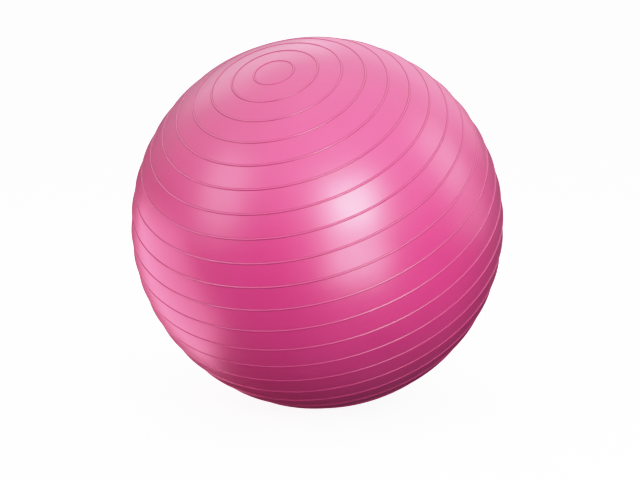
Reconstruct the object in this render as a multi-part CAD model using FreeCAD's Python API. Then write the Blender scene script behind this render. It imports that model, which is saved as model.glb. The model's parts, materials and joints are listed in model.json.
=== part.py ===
"""Exercise ball: a ribbed inflatable PVC shell with a moulded-in valve insert and a push-in plug.

Units are millimetres. The row frame has +Z up and its origin at the middle of the small flat patch
that the ball stands on. Each piece is drawn first in the ball's own frame, which has its origin at
the ball's centre and +Z along the rib axis, and is then laid down on the floor.
"""
import FreeCAD
import Part
import math
import os

# Ball
ball_diameter = 650.0        # over the ribs, inflated
wall_thickness = 0.75        # between the ribs
patch_radius = 32.0          # flat patch that the ball's own weight presses onto the floor
axis_tilt = 30.5             # degrees between the rib axis and upright
axis_heading = 26.0          # degrees from the front (-Y) towards the left (-X) that the axis leans

# Ribs: rings of latitude about the rib axis, the middle one on the equator
rib_count = 25
rib_pitch = 7.0              # degrees of latitude
rib_height = 1.2
rib_width = 3.2

# Valve insert: a bush bonded into the wall at the pole that faces the floor
insert_radius = 10.0         # the boss that fills the hole in the wall
flange_radius = 16.0
flange_edge = 1.2
barrel_radius = 7.5
barrel_end = 20.0            # depth below the skin
bore_radius = 4.0
bore_chamfer = 0.6
recess_radius = 6.6
recess_depth = 2.1
notch_radius = 2.6           # scoop in the recess's rim, to get a nail under the plug's head
notch_depth = 1.6

# Plug
head_radius = 6.2
head_top = 0.25              # depth of the head's crown below the skin
head_dome = 0.2              # height of the crown over the head's shoulder
head_rounding = 0.5
head_seat_gap = 0.1
stem_radius = 3.4
seal_radius = 3.95           # sealing rings, 0.05 clear of the bore
seal_width = 1.6
seal_depths = (6.0, 10.0, 14.0)
taper_start = 18.5
plug_end = 22.5
tip_radius = 2.8
tip_rounding = 0.5
core_radius = 1.5            # blind hole up the stem from its tip
core_depth = 5.0

# Worked out from the sizes above
skin_radius = ball_diameter / 2 - rib_height
inner_radius = skin_radius - wall_thickness
centre_height = math.sqrt(skin_radius**2 - patch_radius**2)
first_rib = 90.0 - rib_pitch * (rib_count - 1) / 2
rib_half_angle = math.degrees(rib_width / 2 / skin_radius)

BALL_CENTRE = FreeCAD.Vector(0, 0, 0)
RIB_AXIS = FreeCAD.Vector(0, 0, 1)


def on_sphere(radius, angle):
    """Point of the profile plane on a sphere, at an angle in degrees from the rib axis."""
    turned = math.radians(angle)
    return FreeCAD.Vector(radius * math.sin(turned), 0, radius * math.cos(turned))


def at_depth(radius, depth):
    """Point of the profile plane near the valve: distance from its axis, and depth below the skin."""
    return FreeCAD.Vector(radius, 0, depth - skin_radius)


def wall_point(sphere_radius, radius):
    """Point of the profile plane on a sphere, at a distance from the valve's axis."""
    return FreeCAD.Vector(radius, 0, -math.sqrt(sphere_radius**2 - radius**2))


def line(start, end):
    return Part.LineSegment(start, end).toShape()


def arc(start, middle, end):
    return Part.Arc(start, middle, end).toShape()


def polyline(points):
    return [line(start, end) for start, end in zip(points, points[1:])]


def skin_arc(start_angle, end_angle):
    middle_angle = (start_angle + end_angle) / 2
    return arc(*(on_sphere(skin_radius, angle) for angle in (start_angle, middle_angle, end_angle)))


def wall_arc(sphere_radius, start, end):
    """Arc of a wall surface between two distances from the valve's axis."""
    return arc(*(wall_point(sphere_radius, radius) for radius in (start, (start + end) / 2, end)))


def outer_corner(radius, depth, rounding, downwards):
    """Quarter arc round a convex corner at the given radius, with its face at the given depth."""
    step = rounding * downwards
    slant = 1 - math.sqrt(0.5)
    return [
        at_depth(radius - rounding, depth),
        at_depth(radius - rounding * slant, depth + step * slant),
        at_depth(radius, depth + step),
    ]


def revolve(edges):
    """Solid of revolution about the rib axis, from a closed outline in the profile plane."""
    outline = Part.Wire(Part.__sortEdges__(edges))
    return Part.Face(outline).revolve(BALL_CENTRE, RIB_AXIS, 360)


def below(height):
    """Block that holds everything under a level of the row frame."""
    side = 2 * ball_diameter
    return Part.makeBox(side, side, side, FreeCAD.Vector(-side / 2, -side / 2, height - side))


def lay_down(shape):
    """Turn the rib axis to its tilt, and lift the ball's centre to its height above the floor."""
    tilt = math.radians(axis_tilt)
    heading = math.radians(axis_heading)
    leaning_axis = FreeCAD.Vector(
        -math.sin(tilt) * math.sin(heading),
        -math.sin(tilt) * math.cos(heading),
        math.cos(tilt),
    )
    turn = FreeCAD.Rotation(RIB_AXIS, leaning_axis)
    laid = shape.copy()
    laid.Placement = FreeCAD.Placement(FreeCAD.Vector(0, 0, centre_height), turn)
    return laid


def ribbed_ball():
    """Outer form: a sphere with a rounded rib along each ring of latitude."""
    edges = []
    last_foot = 0.0
    for rib in range(rib_count):
        crown = first_rib + rib * rib_pitch
        near_foot = crown - rib_half_angle
        far_foot = crown + rib_half_angle
        edges.append(skin_arc(last_foot, near_foot))
        edges.append(arc(
            on_sphere(skin_radius, near_foot),
            on_sphere(skin_radius + rib_height, crown),
            on_sphere(skin_radius, far_foot),
        ))
        last_foot = far_foot
    edges.append(skin_arc(last_foot, 180.0))
    edges.append(line(on_sphere(skin_radius, 180.0), on_sphere(skin_radius, 0.0)))
    return revolve(edges)


def ball_shell():
    """The wall, flattened inside and out where it stands, with the hole for the valve insert."""
    outside = lay_down(ribbed_ball()).cut(below(0))
    inside = lay_down(Part.makeSphere(inner_radius)).cut(below(wall_thickness))
    valve_hole = Part.makeCylinder(insert_radius, ball_diameter / 2, BALL_CENTRE, -RIB_AXIS)
    return outside.cut(inside).cut(lay_down(valve_hole))


def valve_insert():
    """Bush with a boss flush with the skin, a flange behind the wall and a barrel inside the ball."""
    rim = wall_point(skin_radius, recess_radius)
    boss_edge = wall_point(skin_radius, insert_radius)
    wall_inside = wall_point(inner_radius, insert_radius)
    flange_corner = wall_point(inner_radius, flange_radius)
    flange_depth = flange_corner.z + skin_radius
    edges = [
        wall_arc(skin_radius, recess_radius, insert_radius),
        line(boss_edge, wall_inside),
        wall_arc(inner_radius, insert_radius, flange_radius),
    ]
    edges += polyline([
        flange_corner,
        at_depth(flange_radius, flange_depth + flange_edge),
        at_depth(barrel_radius, flange_depth + 2 * flange_edge),
        at_depth(barrel_radius, barrel_end - bore_chamfer),
        at_depth(barrel_radius - bore_chamfer, barrel_end),
        at_depth(bore_radius, barrel_end),
        at_depth(bore_radius, recess_depth + bore_chamfer),
        at_depth(bore_radius + bore_chamfer, recess_depth),
        at_depth(recess_radius, recess_depth),
        rim,
    ])
    notch = Part.makeCylinder(notch_radius, notch_depth, at_depth(recess_radius, 0), RIB_AXIS)
    return lay_down(revolve(edges).cut(notch))


def valve_plug():
    """Stopper: a thin domed head, a stem with sealing rings, and a blind hole up from the tip."""
    crown = at_depth(0, head_top)
    shoulder, rounding_middle, rim = outer_corner(head_radius, head_top + head_dome, head_rounding, 1)
    dome_middle = at_depth(shoulder.x / 2, head_top + head_dome / 4)
    edges = [
        arc(crown, dome_middle, shoulder),
        arc(shoulder, rounding_middle, rim),
    ]
    head_bottom = recess_depth - head_seat_gap
    points = [rim, at_depth(head_radius, head_bottom), at_depth(stem_radius, head_bottom)]
    edges += polyline(points)
    last = points[-1]
    for depth in seal_depths:
        start = at_depth(stem_radius, depth - seal_width / 2)
        end = at_depth(stem_radius, depth + seal_width / 2)
        edges.append(line(last, start))
        edges.append(arc(start, at_depth(seal_radius, depth), end))
        last = end
    tip_inside, tip_middle, tip_outside = outer_corner(tip_radius, plug_end, tip_rounding, -1)
    edges += polyline([last, at_depth(stem_radius, taper_start), tip_outside])
    edges.append(arc(tip_outside, tip_middle, tip_inside))
    edges += polyline([
        tip_inside,
        at_depth(core_radius, plug_end),
        at_depth(core_radius, core_depth + core_radius / 2),
        at_depth(0, core_depth),
        crown,
    ])
    return lay_down(revolve(edges))


os.makedirs("parts", exist_ok=True)
for make in (ball_shell, valve_insert, valve_plug):
    shape = make()
    shape.exportStep("parts/" + make.__name__ + ".step")
    volume = round(shape.Volume / 1000, 2)
    print(make.__name__, "valid:", shape.isValid(), "solids:", len(shape.Solids), "cm3:", volume)
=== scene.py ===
"""Exercise ball: a seamless pink PVC ball with moulded ribs, its valve insert and its white plug.

Metres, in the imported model's frame: +Z up, origin at the middle of the patch the ball stands on.
"""

import json
import math

import bpy
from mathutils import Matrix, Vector


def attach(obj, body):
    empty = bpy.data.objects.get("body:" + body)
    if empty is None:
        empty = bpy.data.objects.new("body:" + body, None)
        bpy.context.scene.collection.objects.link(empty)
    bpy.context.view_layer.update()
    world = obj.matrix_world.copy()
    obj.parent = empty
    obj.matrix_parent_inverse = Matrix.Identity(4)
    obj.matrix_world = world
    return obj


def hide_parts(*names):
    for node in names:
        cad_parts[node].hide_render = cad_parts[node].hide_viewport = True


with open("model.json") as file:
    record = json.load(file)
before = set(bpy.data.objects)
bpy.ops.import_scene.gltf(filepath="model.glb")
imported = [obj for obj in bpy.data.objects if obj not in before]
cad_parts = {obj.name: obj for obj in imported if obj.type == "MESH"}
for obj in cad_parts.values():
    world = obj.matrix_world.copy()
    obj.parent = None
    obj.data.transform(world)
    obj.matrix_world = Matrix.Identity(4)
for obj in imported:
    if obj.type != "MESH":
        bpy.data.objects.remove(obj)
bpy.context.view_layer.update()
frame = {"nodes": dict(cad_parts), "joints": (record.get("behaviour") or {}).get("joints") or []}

# Ball, as in the CAD model
BALL_DIAMETER = 0.650        # over the ribs
RIB_HEIGHT = 0.0012
RIB_WIDTH = 0.0032
RIB_COUNT = 25
RIB_PITCH = math.radians(7.0)
PATCH_RADIUS = 0.032         # flat patch pressed onto the floor
WALL_THICKNESS = 0.00075
VALVE_HOLE_RADIUS = 0.010

SKIN_RADIUS = BALL_DIAMETER / 2 - RIB_HEIGHT
INNER_RADIUS = SKIN_RADIUS - WALL_THICKNESS
FIRST_RIB = math.pi / 2 - RIB_PITCH * (RIB_COUNT - 1) / 2
RIB_HALF_ANGLE = RIB_WIDTH / 2 / SKIN_RADIUS
VALVE_AXIS = Vector(frame["joints"][0]["axis"]).normalized()
RIB_AXIS = -VALVE_AXIS
BALL_CENTRE = Vector((0, 0, math.sqrt(SKIN_RADIUS**2 - PATCH_RADIUS**2)))

# Mesh density of the ball
SEGMENTS = 240               # round the rib axis
RIB_STEPS = 8                # rows across a rib
FOOT_WIDTH = 0.0003          # narrow row beside each foot of a rib, which keeps its crease crisp
BAND_STEPS = 3               # rows across the plain band between two ribs
CAP_STEPS = 6                # rows from a pole to its first rib
INNER_STEPS = 24             # rows of the plain inside wall

# Flat patch
PRESS_SOFTNESS = 0.0004      # how gently the skin turns into the patch
PRESS_REACH = 4 * PATCH_RADIUS**2 / SKIN_RADIUS    # height below which the floor presses the skin


def add_object(name, data):
    """New object of the scene, from its mesh, lamp or camera."""
    piece = bpy.data.objects.new(name, data)
    bpy.context.scene.collection.objects.link(piece)
    return piece


def add_mesh(name, points, faces):
    mesh = bpy.data.meshes.new(name)
    mesh.from_pydata(points, [], faces)
    return add_object(name, mesh)


# ---------------------------------------------------------------- the ball's mesh

def hole_rim(sphere_radius):
    """Angle from the rib axis to the rim of the valve's hole in a sphere."""
    return math.pi - math.asin(VALVE_HOLE_RADIUS / sphere_radius)


def band_rows(start, end, steps):
    """Rows of plain skin from one foot to the next, with a narrow row beside each."""
    foot = FOOT_WIDTH / SKIN_RADIUS
    inside = [start + foot + (end - start - 2 * foot) * step / steps for step in range(steps + 1)]
    return [(angle, SKIN_RADIUS) for angle in inside]


def rib_rows(crown):
    """Rows over one rib, which rises from its feet to its crown in a parabola."""
    rows = []
    for step in range(RIB_STEPS + 1):
        across = 2 * step / RIB_STEPS - 1    # -1 at one foot, 0 on the crown, 1 at the other foot
        rise = RIB_HEIGHT * (1 - across**2)
        rows.append((crown + across * RIB_HALF_ANGLE, SKIN_RADIUS + rise))
    return rows


def outer_profile():
    """Angle from the rib axis, and radius, of each row of the outside from the pole to the hole."""
    rows = []
    last_foot = 0.0
    for rib in range(RIB_COUNT):
        crown = FIRST_RIB + rib * RIB_PITCH
        rows += band_rows(last_foot, crown - RIB_HALF_ANGLE, BAND_STEPS if rib else CAP_STEPS)
        rows += rib_rows(crown)
        last_foot = crown + RIB_HALF_ANGLE
    rim = hole_rim(SKIN_RADIUS)
    return rows + band_rows(last_foot, rim, CAP_STEPS) + [(rim, SKIN_RADIUS)]


def inner_profile():
    """Rows of the inside wall, from the valve's hole back to the pole."""
    rim = hole_rim(INNER_RADIUS)
    return [(rim * (1 - step / INNER_STEPS), INNER_RADIUS) for step in range(INNER_STEPS)]


def axis_frame():
    """Two directions square to the rib axis and to each other."""
    across = RIB_AXIS.cross(Vector((0, 0, 1))).normalized()
    return across, RIB_AXIS.cross(across)


def pressed(height, floor):
    """A height kept above the floor, turning into it softly."""
    above = height - floor
    return floor + (above + math.sqrt(above**2 + PRESS_SOFTNESS**2)) / 2


def ring_points(rows, floor):
    """Points of every row round the rib axis, pressed flat onto the floor."""
    across, along = axis_frame()
    points = []
    for angle, radius in rows:
        for segment in range(SEGMENTS):
            turn = 2 * math.pi * segment / SEGMENTS
            outwards = across * math.cos(turn) + along * math.sin(turn)
            point = BALL_CENTRE + radius * (RIB_AXIS * math.cos(angle) + outwards * math.sin(angle))
            if point.z < PRESS_REACH:
                point.z = pressed(point.z, floor)
            points.append(point)
    return points


def wall_faces(row_count):
    """Quads between each row and the next, out to the valve's hole and back along the inside."""
    faces = []
    for row in range(row_count - 1):
        for segment in range(SEGMENTS):
            following = (segment + 1) % SEGMENTS
            faces.append((
                row * SEGMENTS + segment,
                (row + 1) * SEGMENTS + segment,
                (row + 1) * SEGMENTS + following,
                row * SEGMENTS + following,
            ))
    return faces


def pole_faces(pole, row, outwards):
    """Fan that closes a row onto a single point at the pole."""
    faces = []
    for segment in range(SEGMENTS):
        pair = (row * SEGMENTS + segment, row * SEGMENTS + (segment + 1) % SEGMENTS)
        faces.append((pole, *pair) if outwards else (pole, *reversed(pair)))
    return faces


def make_ball():
    """The skin as one closed mesh: outside and inside, joined round the rim of the valve's hole."""
    outside = outer_profile()
    inside = inner_profile()
    rows = len(outside) + len(inside)
    points = ring_points(outside, 0.0) + ring_points(inside, WALL_THICKNESS)
    points.append(BALL_CENTRE + RIB_AXIS * SKIN_RADIUS)
    points.append(BALL_CENTRE + RIB_AXIS * INNER_RADIUS)
    outer_pole, inner_pole = len(points) - 2, len(points) - 1
    faces = wall_faces(rows)
    faces += pole_faces(outer_pole, 0, True)
    faces += pole_faces(inner_pole, rows - 1, False)
    skin = add_mesh("exercise_ball_skin", [point[:] for point in points], faces)
    skin.data.validate()
    skin.data.shade_smooth()
    return skin


# ---------------------------------------------------------------- shader nodes

def new_material(name):
    material = bpy.data.materials.new(name)
    material.use_nodes = True
    return material


def shader_of(material):
    return material.node_tree.nodes["Principled BSDF"]


def set_inputs(node, values):
    for name, value in values.items():
        node.inputs[name].default_value = value


def object_coordinates(tree):
    return tree.nodes.new("ShaderNodeTexCoord").outputs["Object"]


def noise(tree, place, size, detail=2.0, roughness=0.5, distortion=0.0):
    """Noise with features of about the given size in metres; its value runs from 0 to 1."""
    node = tree.nodes.new("ShaderNodeTexNoise")
    set_inputs(node, {
        "Scale": 1 / size,
        "Detail": detail,
        "Roughness": roughness,
        "Distortion": distortion,
    })
    tree.links.new(place, node.inputs["Vector"])
    return node.outputs["Fac"]


def remap(tree, value, low, high, new_low, new_high):
    """Stretch a range of a value onto a new range, held at its ends."""
    node = tree.nodes.new("ShaderNodeMapRange")
    set_inputs(node, {"From Min": low, "From Max": high, "To Min": new_low, "To Max": new_high})
    tree.links.new(value, node.inputs["Value"])
    return node.outputs["Result"]


def arithmetic(tree, operation, *values):
    """One sum on one or two values; each is a number or another node's output."""
    node = tree.nodes.new("ShaderNodeMath")
    node.operation = operation
    for socket, value in zip(node.inputs, values):
        if isinstance(value, float):
            socket.default_value = value
        else:
            tree.links.new(value, socket)
    return node.outputs["Value"]


def vector_arithmetic(tree, operation, vector, other=None):
    """One sum on a node's vector, with a fixed vector where the sum takes two."""
    node = tree.nodes.new("ShaderNodeVectorMath")
    node.operation = operation
    tree.links.new(vector, node.inputs[0])
    if other is not None:
        node.inputs[1].default_value = other
    return node.outputs["Value" if operation == "DOT_PRODUCT" else "Vector"]


def blend_colours(tree, share, first, second):
    """Mix of two colours, all first at share 0; each is a tuple or another mix."""
    node = tree.nodes.new("ShaderNodeMix")
    node.data_type = "RGBA"
    tree.links.new(share, node.inputs["Factor"])
    for name, colour in (("A", first), ("B", second)):
        socket = next(s for s in node.inputs if s.name == name and s.type == "RGBA")
        if isinstance(colour, tuple):
            socket.default_value = (*colour, 1)
        else:
            tree.links.new(colour, socket)
    return next(s for s in node.outputs if s.type == "RGBA")


def bump(tree, height, distance, under=None):
    """Bump whose height of 1 stands for the given distance in metres, on top of another bump."""
    node = tree.nodes.new("ShaderNodeBump")
    set_inputs(node, {"Distance": distance, "Strength": 1.0})
    tree.links.new(height, node.inputs["Height"])
    if under is not None:
        tree.links.new(under, node.inputs["Normal"])
    return node.outputs["Normal"]


# ---------------------------------------------------------------- materials

# Values of a noise: its middle, and those between which a colour or a roughness changes
NOISE_MIDDLE = 0.5
COLOUR_SPREAD = (0.35, 0.65)
ROUGHNESS_SPREAD = (0.3, 0.7)

# Soft PVC of the ball. Sizes are those of the features, and heights are from low to high
SKIN_IOR = 1.8
SKIN_COAT_ROUGHNESS = 0.35
SKIN_ROUGHNESS = (0.33, 0.38)
HANDLING_SIZE = 0.07         # patches where hands have changed the gloss
SKIN_DEEP = (0.75, 0.046, 0.25)
SKIN_PALE = (0.79, 0.054, 0.27)
CLOUD_SIZE = 0.12            # clouds in the pigment
GRAIN_SIZE = 0.0012
GRAIN_HEIGHT = 0.00004
GRAIN_HARSHNESS = 0.6
PEEL_SIZE = 0.009
PEEL_HEIGHT = 0.00007

# Scuffs: the thin lines where a bent noise passes through its middle value
SCUFF_COLOUR = (0.75, 0.08, 0.32)
SCUFF_SHARE = 0.35           # of that colour in a scuff
SCUFF_DULLNESS = 0.15        # roughness that a scuff adds
SCUFF_LENGTH = 0.11
SCUFF_BEND = 1.2
SCUFF_EDGE = 0.006           # how far off its middle value the noise still draws the line
SCUFF_PATCH = 0.16           # size of the worn patches that the scuffs keep to
SCUFF_PATCH_EDGE = (0.52, 0.68)

# Ribs: painted shade in the creases at their feet, and a painted highlight along their crowns
CREASE_SHADE_COLOUR = (0.36, 0.001, 0.085)
CREASE_SHADE_SHARE = 0.95
CREASE_DULLNESS = 0.6
CREASE_REACH = 0.001         # how far the painted shade and the dullness spread from the foot of a rib
CROWN_HIGHLIGHT_COLOUR = (0.9, 0.08, 0.40)
CROWN_HIGHLIGHT_SHARE = 0.35
CROWN_INSIDE = 0.0008        # distance from a rib's crown up to which the painted highlight is full
CROWN_OUTSIDE = 0.0014       # and where that ends

INSERT_FINISH = {
    "deep": (0.50, 0.024, 0.165),
    "pale": (0.54, 0.030, 0.18),
    "flow_size": 0.006,
    "roughness": (0.38, 0.5),
    "dulling_size": 0.003,
    "grain_size": 0.0005,
    "grain_height": 0.00001,
}
PLUG_FINISH = {
    "deep": (0.79, 0.78, 0.74),
    "pale": (0.84, 0.83, 0.80),
    "flow_size": 0.004,
    "roughness": (0.32, 0.46),
    "dulling_size": 0.0015,
    "grain_size": 0.0004,
    "grain_height": 0.000008,
}
PLUG_TRANSLUCENCY = 0.15
PLUG_LIGHT_DEPTH = 0.001     # how far light goes into the plug


def mottled_colour(tree, place, size, deep, pale):
    """Cloudy mix of two colours."""
    share = remap(tree, noise(tree, place, size, detail=3.0), *COLOUR_SPREAD, 0.0, 1.0)
    return blend_colours(tree, share, deep, pale)


def uneven_roughness(tree, place, size, lowest, highest):
    """Roughness that drifts between two values."""
    return remap(tree, noise(tree, place, size, detail=4.0), *ROUGHNESS_SPREAD, lowest, highest)


def scuffs(tree, place):
    """Thin curved marks in a few worn patches, 0 to 1."""
    bent = noise(tree, place, SCUFF_LENGTH, detail=3.0, distortion=SCUFF_BEND)
    off_line = arithmetic(tree, "ABSOLUTE", arithmetic(tree, "SUBTRACT", bent, NOISE_MIDDLE))
    line = remap(tree, off_line, 0.0, SCUFF_EDGE, 1.0, 0.0)
    patch = remap(tree, noise(tree, place, SCUFF_PATCH), *SCUFF_PATCH_EDGE, 0.0, 1.0)
    return arithmetic(tree, "MULTIPLY", line, patch)


def distance_from_crown(tree, place):
    """Distance along the skin to the crown of the nearest rib, in metres."""
    from_centre = vector_arithmetic(tree, "SUBTRACT", place, BALL_CENTRE)
    outwards = vector_arithmetic(tree, "NORMALIZE", from_centre)
    along_axis = vector_arithmetic(tree, "DOT_PRODUCT", outwards, RIB_AXIS)
    past_first = arithmetic(tree, "SUBTRACT", arithmetic(tree, "ARCCOSINE", along_axis), FIRST_RIB)
    pitches = arithmetic(tree, "DIVIDE", past_first, RIB_PITCH)
    off_nearest = arithmetic(tree, "PINGPONG", pitches, 0.5)    # up to half a pitch
    return arithmetic(tree, "MULTIPLY", off_nearest, RIB_PITCH * SKIN_RADIUS)


def rib_creases(tree, off_crown):
    """1 in the crease at each foot of a rib, 0 a short way from it."""
    off_foot = arithmetic(tree, "SUBTRACT", off_crown, RIB_WIDTH / 2)
    return remap(tree, arithmetic(tree, "ABSOLUTE", off_foot), 0.0, CREASE_REACH, 1.0, 0.0)


def skin_colour(tree, place, marks, off_crown, creases):
    """Cloudy pigment with faint scuffs, a painted highlight on the ribs' crowns and painted shade
    in their creases.
    """
    pigment = mottled_colour(tree, place, CLOUD_SIZE, SKIN_DEEP, SKIN_PALE)
    scuffed = arithmetic(tree, "MULTIPLY", marks, SCUFF_SHARE)
    worn = blend_colours(tree, scuffed, pigment, SCUFF_COLOUR)
    # painted highlight: the ribs' crowns are made paler in colour, as if catching the light
    crowns = remap(tree, off_crown, CROWN_INSIDE, CROWN_OUTSIDE, CROWN_HIGHLIGHT_SHARE, 0.0)
    crown_highlighted = blend_colours(tree, crowns, worn, CROWN_HIGHLIGHT_COLOUR)
    # painted shade: the creases at the ribs' feet are darkened in colour
    painted_crease_shade = arithmetic(tree, "MULTIPLY", creases, CREASE_SHADE_SHARE)
    return blend_colours(tree, painted_crease_shade, crown_highlighted, CREASE_SHADE_COLOUR)


def skin_roughness(tree, place, marks, creases):
    """Satin, duller in the scuffs and in the ribs' creases."""
    handled = uneven_roughness(tree, place, HANDLING_SIZE, *SKIN_ROUGHNESS)
    from_scuffs = arithmetic(tree, "MULTIPLY", marks, SCUFF_DULLNESS)
    from_creases = arithmetic(tree, "MULTIPLY", creases, CREASE_DULLNESS)
    return arithmetic(tree, "ADD", arithmetic(tree, "ADD", handled, from_scuffs), from_creases)


def skin_material():
    """Satin PVC under a clear gloss, with a fine grain over a slight orange peel."""
    material = new_material("pink_soft_pvc")
    tree, shader = material.node_tree, shader_of(material)
    set_inputs(shader, {
        "IOR": SKIN_IOR,
        "Coat Weight": 1.0,
        "Coat Roughness": SKIN_COAT_ROUGHNESS,
    })
    place = object_coordinates(tree)
    marks = scuffs(tree, place)
    off_crown = distance_from_crown(tree, place)
    creases = rib_creases(tree, off_crown)
    colour = skin_colour(tree, place, marks, off_crown, creases)
    tree.links.new(colour, shader.inputs["Base Color"])
    tree.links.new(skin_roughness(tree, place, marks, creases), shader.inputs["Roughness"])
    peel = bump(tree, noise(tree, place, PEEL_SIZE), PEEL_HEIGHT)
    fine = noise(tree, place, GRAIN_SIZE, detail=4.0, roughness=GRAIN_HARSHNESS)
    tree.links.new(bump(tree, fine, GRAIN_HEIGHT, peel), shader.inputs["Normal"])
    return material


def moulded_plastic(name, deep, pale, flow_size, roughness, dulling_size, grain_size, grain_height):
    """Plastic of a small moulded piece: faint flow marks, finger dulling and a fine grain."""
    material = new_material(name)
    tree, shader = material.node_tree, shader_of(material)
    place = object_coordinates(tree)
    colour = mottled_colour(tree, place, flow_size, deep, pale)
    tree.links.new(colour, shader.inputs["Base Color"])
    dull = uneven_roughness(tree, place, dulling_size, *roughness)
    tree.links.new(dull, shader.inputs["Roughness"])
    grain = bump(tree, noise(tree, place, grain_size, detail=3.0), grain_height)
    tree.links.new(grain, shader.inputs["Normal"])
    return material


def insert_material():
    """Valve insert: the same PVC as the ball, a shade deeper and a little duller."""
    return moulded_plastic("deep_pink_pvc", **INSERT_FINISH)


def plug_material():
    """White polythene stopper, which light goes into a little."""
    material = moulded_plastic("white_plug", **PLUG_FINISH)
    set_inputs(shader_of(material), {
        "Subsurface Weight": PLUG_TRANSLUCENCY,
        "Subsurface Scale": PLUG_LIGHT_DEPTH,
    })
    return material


def set_material(piece, material):
    piece.data.materials.clear()
    piece.data.materials.append(material)


# ---------------------------------------------------------------- studio

BLACK = (0.0, 0.0, 0.0)
WHITE = (1.0, 1.0, 1.0)
WARM_WHITE = (1.0, 1.0, 0.92)
PALE_PINK = (1.0, 0.38, 0.58)

# Film-like shoulder of the picture
SHOULDER_START = 0.6         # scene brightness up to which the picture is left alone
SHOULDER_END = 2.4           # scene brightness that comes out as white
SHOULDER_STEPS = 6
SHOULDER_CROWDING = 1.5      # above 1, the curve's points crowd towards its start
COMBINED_CURVE = 3           # Blender's curve for all three colours, after those for each

FLOOR_REACH = 30.0           # from the ball to each side of the floor
FLOOR_COLOUR = (0.9, 0.9, 0.9)
FLOOR_ROUGHNESS = 0.9
FLOOR_GLOW = 1.2
BACKDROP_RADIUS = 29.0
BACKDROP_TOP = 29.0
BACKDROP_FOOT = -0.01        # just under the floor, so that no gap shows
BACKDROP_SIDES = 64

# Softboxes: heading in degrees from the front (-Y) towards the right (+X), elevation, width and
# height as seen from the ball's centre in degrees, radiance, and colour
SOFTBOXES = {
    "key_upper": (18, 20, 36, 34, 1.7, WHITE),
    "key_core": (21, 18, 22, 22, 6.4, WARM_WHITE),
    "key_lower": (22, -12, 30, 20, 3.9, WHITE),
    "fill_left": (-58, 19, 24, 38, 1.8, WHITE),
    "fill_right": (93, 27, 24, 32, 1.4, WHITE),
    "bounce_left": (-108, -26, 54, 50, 2.6, PALE_PINK),
    "bounce_right": (99, 0, 32, 12, 0.6, WHITE),
    "back_right": (155, 28, 50, 36, 0.8, PALE_PINK),
    "back_left": (-155, 44, 44, 30, 0.6, WHITE),
}
SOFTBOX_DISTANCE = 3 * BALL_DIAMETER

# Brightness of the studio's air at each height of the view, from straight down to straight up
WORLD_GREYS = {-1.0: 0.02, -0.4: 0.02, 0.0: 0.1, 0.4: 0.53, 1.0: 1.05}

# Camera, in front of the ball
CAMERA_ELEVATION = 10.0      # degrees
CAMERA_DISTANCE = 4.9 * BALL_DIAMETER
CAMERA_LENS = 102.2          # millimetres, as is the sensor's width
CAMERA_SENSOR = 36.0
CAMERA_SHIFT = (0.0041, -0.0270)


def make_stage(name, points, faces, material):
    """Floor or backdrop: it shows behind the ball, but neither lights it nor shows in its gloss."""
    piece = add_mesh(name, points, faces)
    set_material(piece, material)
    piece.visible_diffuse = False
    piece.visible_glossy = False
    piece.visible_shadow = False


def make_floor():
    """Pale floor with a glow of its own, so that the ball's shadow on it is faint."""
    reach = FLOOR_REACH
    corners = [(-reach, -reach, 0), (reach, -reach, 0), (reach, reach, 0), (-reach, reach, 0)]
    material = new_material("pale_floor")
    set_inputs(shader_of(material), {
        "Base Color": (*FLOOR_COLOUR, 1),
        "Roughness": FLOOR_ROUGHNESS,
        "Emission Color": (*WHITE, 1),
        "Emission Strength": FLOOR_GLOW,
    })
    make_stage("studio_floor", corners, [(0, 1, 2, 3)], material)


def make_backdrop():
    """Evenly lit drum round the stage, which the lower views see above the floor's far edge."""
    sides = BACKDROP_SIDES
    points = []
    for level in (BACKDROP_FOOT, BACKDROP_TOP):
        for side in range(sides):
            turn = 2 * math.pi * side / sides
            across, along = BACKDROP_RADIUS * math.cos(turn), BACKDROP_RADIUS * math.sin(turn)
            points.append((across, along, level))
    faces = []
    for side in range(sides):
        following = (side + 1) % sides
        faces.append((side, following, sides + following, sides + side))
    material = new_material("pale_backdrop")
    set_inputs(shader_of(material), {
        "Base Color": (*BLACK, 1),
        "Specular IOR Level": 0.0,
        "Emission Color": (*WHITE, 1),
        "Emission Strength": SHOULDER_END,
    })
    make_stage("studio_backdrop", points, faces, material)


def place_facing_ball(piece, heading, elevation, distance):
    """Put a lamp or camera round the ball's centre, facing it; the angles are in degrees."""
    turn, rise = math.radians(heading), math.radians(elevation)
    outwards = Vector((
        math.sin(turn) * math.cos(rise),
        -math.cos(turn) * math.cos(rise),
        math.sin(rise),
    ))
    piece.location = BALL_CENTRE + outwards * distance
    piece.rotation_mode = "QUATERNION"
    piece.rotation_quaternion = (-outwards).to_track_quat("-Z", "Y")


def make_softbox(name, heading, elevation, width, height, radiance, colour):
    data = bpy.data.lights.new(name, "AREA")
    data.shape = "RECTANGLE"
    data.size = 2 * SOFTBOX_DISTANCE * math.tan(math.radians(width) / 2)
    data.size_y = 2 * SOFTBOX_DISTANCE * math.tan(math.radians(height) / 2)
    data.energy = radiance * math.pi * data.size * data.size_y
    data.color = colour
    softbox = add_object(name, data)
    place_facing_ball(softbox, heading, elevation, SOFTBOX_DISTANCE)
    softbox.visible_camera = False


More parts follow.
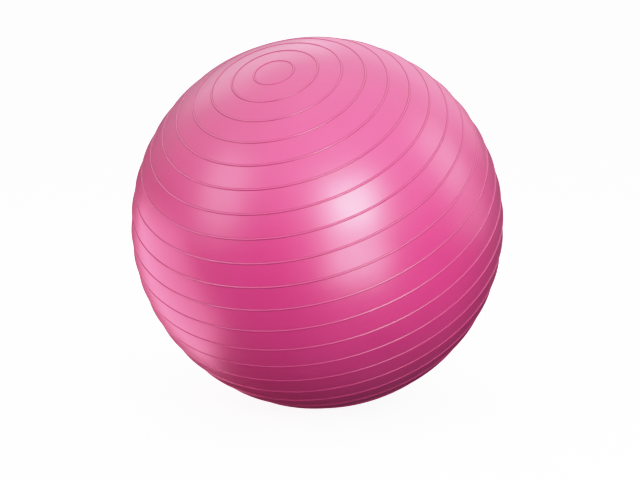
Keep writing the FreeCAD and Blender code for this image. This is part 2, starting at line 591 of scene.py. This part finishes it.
def make_world():
    """Overhead glow that fades to the horizon, and is dark below it."""
    world = bpy.data.worlds.new("studio")
    world.use_nodes = True
    tree = world.node_tree
    view = tree.nodes.new("ShaderNodeSeparateXYZ")
    direction = tree.nodes.new("ShaderNodeTexCoord").outputs["Generated"]
    tree.links.new(direction, view.inputs["Vector"])
    ramp = tree.nodes.new("ShaderNodeValToRGB")
    bottom, top = ramp.color_ramp.elements
    bottom.color = (*[WORLD_GREYS[-1.0]] * 3, 1)
    top.color = (*[WORLD_GREYS[1.0]] * 3, 1)
    for height, grey in WORLD_GREYS.items():
        if abs(height) < 1:
            element = ramp.color_ramp.elements.new((height + 1) / 2)
            element.color = (grey, grey, grey, 1)
    tree.links.new(remap(tree, view.outputs["Z"], -1.0, 1.0, 0.0, 1.0), ramp.inputs["Fac"])
    tree.links.new(ramp.outputs["Color"], tree.nodes["Background"].inputs["Color"])
    bpy.context.scene.world = world


def make_camera():
    data = bpy.data.cameras.new("camera")
    data.lens = CAMERA_LENS
    data.sensor_width = CAMERA_SENSOR
    data.shift_x, data.shift_y = CAMERA_SHIFT
    camera = add_object("camera", data)
    place_facing_ball(camera, 0, CAMERA_ELEVATION, CAMERA_DISTANCE)
    bpy.context.scene.camera = camera


def soften_highlights():
    """Film-like shoulder: brightness above its start bends smoothly towards white."""
    view = bpy.context.scene.view_settings
    view.view_transform = "Standard"
    view.use_curve_mapping = True
    curves = view.curve_mapping
    curves.extend = "HORIZONTAL"
    curves.white_level = (SHOULDER_END, SHOULDER_END, SHOULDER_END)
    combined = curves.curves[COMBINED_CURVE]
    span = SHOULDER_END - SHOULDER_START
    room = 1 - SHOULDER_START
    for step in range(SHOULDER_STEPS):
        above = span * (step / SHOULDER_STEPS)**SHOULDER_CROWDING
        shown = 1 - room * math.exp(-above / room)
        combined.points.new((SHOULDER_START + above) / SHOULDER_END, shown)
    curves.update()


ball = make_ball()
set_material(ball, skin_material())
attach(ball, "ball")
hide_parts("ball_shell")
set_material(frame["nodes"]["valve_insert"], insert_material())
set_material(frame["nodes"]["valve_plug"], plug_material())

make_floor()
make_backdrop()
for softbox_name, settings in SOFTBOXES.items():
    make_softbox(softbox_name, *settings)
make_world()
make_camera()
soften_highlights()
